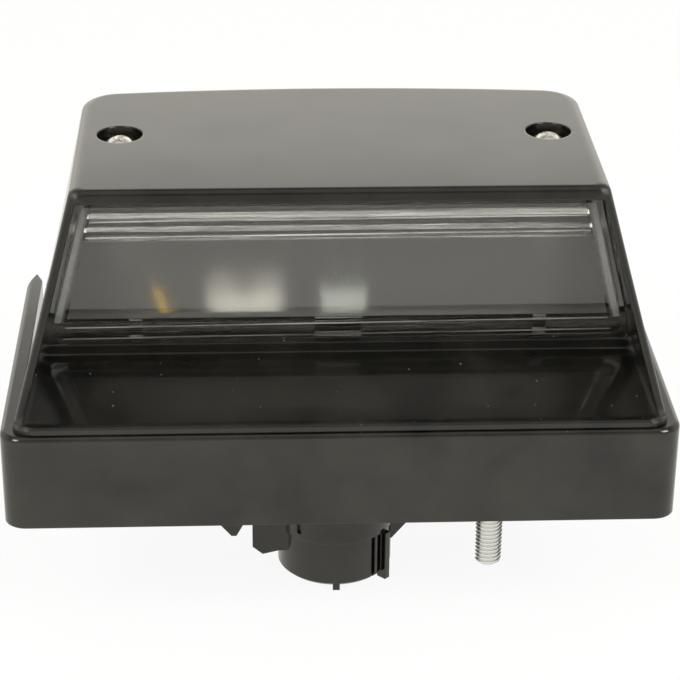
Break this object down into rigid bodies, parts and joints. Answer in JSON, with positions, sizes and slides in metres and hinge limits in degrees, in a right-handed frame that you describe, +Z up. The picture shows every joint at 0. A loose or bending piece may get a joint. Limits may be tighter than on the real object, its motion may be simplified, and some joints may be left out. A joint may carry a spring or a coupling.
{
  "type": "number plate lamp",
  "caption": "Black hooded lamp for a vehicle's number plate: a clear lens between leaning cheeks, a tray in front, mounting studs and a round plug socket below.",
  "frame": {"origin": "axis of the plug socket, at the flat mounting face under the base", "axes": "+X to the right seen from the lens side, +Y from the lens side to the back, +Z up, out of the mounting face"},
  "size_m": [0.117, 0.0668, 0.0834],
  "materials": {
    "black_plastic": "moulded black plastic, smooth gloss",
    "clear_lens": "clear polycarbonate, with a diffusing window",
    "seal_rubber": "black foam rubber",
    "bright_steel": "bright plated steel",
    "zinc_steel": "zinc plated steel",
    "brass": "plain brass",
    "pale_plastic": "pale blue-grey plastic",
    "board": "white lacquered circuit board",
    "diode": "yellow phosphor under clear resin",
    "white_plastic": "white plastic",
    "yellow_insulation": "yellow wire insulation",
    "black_insulation": "black wire insulation"
  },
  "bodies": {
    "root": {"base_housing": "black_plastic", "housing_cover": "black_plastic", "lens": "clear_lens", "cover_seal": "seal_rubber", "cover_screw_left": "bright_steel", "cover_screw_right": "bright_steel", "screw_insert_left": "brass", "screw_insert_right": "brass", "mounting_stud_front": "zinc_steel", "mounting_stud_rear": "zinc_steel", "contact_carrier": "pale_plastic", "lamp_board": "board", "driver_block": "white_plastic", "yellow_wire": "yellow_insulation", "driver_wire": "black_insulation", "feed_wire_left": "black_insulation", "feed_wire_right": "black_insulation", "contact_pin_1": "brass", "contact_pin_2": "brass", "contact_pin_3": "brass", "contact_pin_4": "brass", "diode_1": "diode", "diode_2": "diode", "diode_3": "diode", "diode_4": "diode"}
  },
  "joints": []
}
